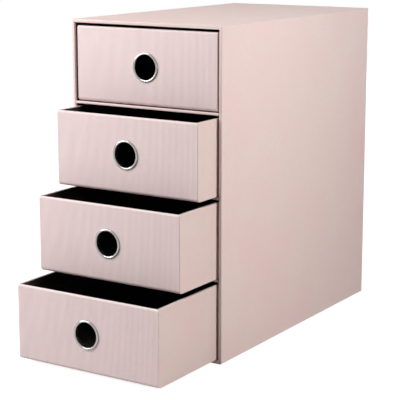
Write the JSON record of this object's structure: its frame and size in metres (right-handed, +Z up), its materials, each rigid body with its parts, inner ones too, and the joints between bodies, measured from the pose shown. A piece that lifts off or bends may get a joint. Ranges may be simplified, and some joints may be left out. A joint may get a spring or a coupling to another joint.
{
  "type": "desktop mini drawers",
  "caption": "Upright paper-covered board case with stacked open-topped drawers that slide out to the front, each with a ribbed front and a round metal finger eyelet.",
  "frame": {"origin": "centre of the case's footprint, on the underside that it stands on", "axes": "+Z up, the drawers face -Y and pull out along it, +X to the right when looking along +Y at the fronts"},
  "size_m": [0.134, 0.3144, 0.25],
  "materials": {
    "rose_paper": "satin",
    "ribbed_paper": "satin",
    "black_paper": "matte",
    "greyboard": "matte",
    "eyelet_metal": "polished"
  },
  "bodies": {
    "case": {"case_left": "greyboard", "case_right": "greyboard", "case_top": "greyboard", "case_bottom": "greyboard", "case_back": "greyboard", "case_wrap": "rose_paper", "case_back_paper": "rose_paper", "case_base_paper": "rose_paper", "base_strip": "rose_paper", "case_lining": "black_paper", "shelf_1": "greyboard", "shelf_1_strip": "rose_paper", "shelf_1_cover": "black_paper", "shelf_2": "greyboard", "shelf_2_strip": "rose_paper", "shelf_2_cover": "black_paper", "shelf_3": "greyboard", "shelf_3_strip": "rose_paper", "shelf_3_cover": "black_paper"},
    "drawer_1": {"drawer_1_front": "greyboard", "drawer_1_back": "greyboard", "drawer_1_left": "greyboard", "drawer_1_right": "greyboard", "drawer_1_bottom": "greyboard", "drawer_1_wrap": "rose_paper", "drawer_1_lining": "black_paper", "drawer_1_facing": "ribbed_paper", "drawer_1_eyelet": "eyelet_metal", "drawer_1_washer": "eyelet_metal"},
    "drawer_2": {"drawer_2_front": "greyboard", "drawer_2_back": "greyboard", "drawer_2_left": "greyboard", "drawer_2_right": "greyboard", "drawer_2_bottom": "greyboard", "drawer_2_wrap": "rose_paper", "drawer_2_lining": "black_paper", "drawer_2_facing": "ribbed_paper", "drawer_2_eyelet": "eyelet_metal", "drawer_2_washer": "eyelet_metal"},
    "drawer_3": {"drawer_3_front": "greyboard", "drawer_3_back": "greyboard", "drawer_3_left": "greyboard", "drawer_3_right": "greyboard", "drawer_3_bottom": "greyboard", "drawer_3_wrap": "rose_paper", "drawer_3_lining": "black_paper", "drawer_3_facing": "ribbed_paper", "drawer_3_eyelet": "eyelet_metal", "drawer_3_washer": "eyelet_metal"},
    "drawer_4": {"drawer_4_front": "greyboard", "drawer_4_back": "greyboard", "drawer_4_left": "greyboard", "drawer_4_right": "greyboard", "drawer_4_bottom": "greyboard", "drawer_4_wrap": "rose_paper", "drawer_4_lining": "black_paper", "drawer_4_facing": "ribbed_paper", "drawer_4_eyelet": "eyelet_metal", "drawer_4_washer": "eyelet_metal"}
  },
  "joints": [
    {"name": "drawer_1_slide", "type": "slide", "parent": "case", "child": "drawer_1", "axis": [0, -1, 0], "range_m": [0, 0.2]},
    {"name": "drawer_2_slide", "type": "slide", "parent": "case", "child": "drawer_2", "axis": [0, -1, 0], "range_m": [-0.0262, 0.1738]},
    {"name": "drawer_3_slide", "type": "slide", "parent": "case", "child": "drawer_3", "axis": [0, -1, 0], "range_m": [-0.0497, 0.1503]},
    {"name": "drawer_4_slide", "type": "slide", "parent": "case", "child": "drawer_4", "axis": [0, -1, 0], "range_m": [-0.0765, 0.1235]}
  ]
}
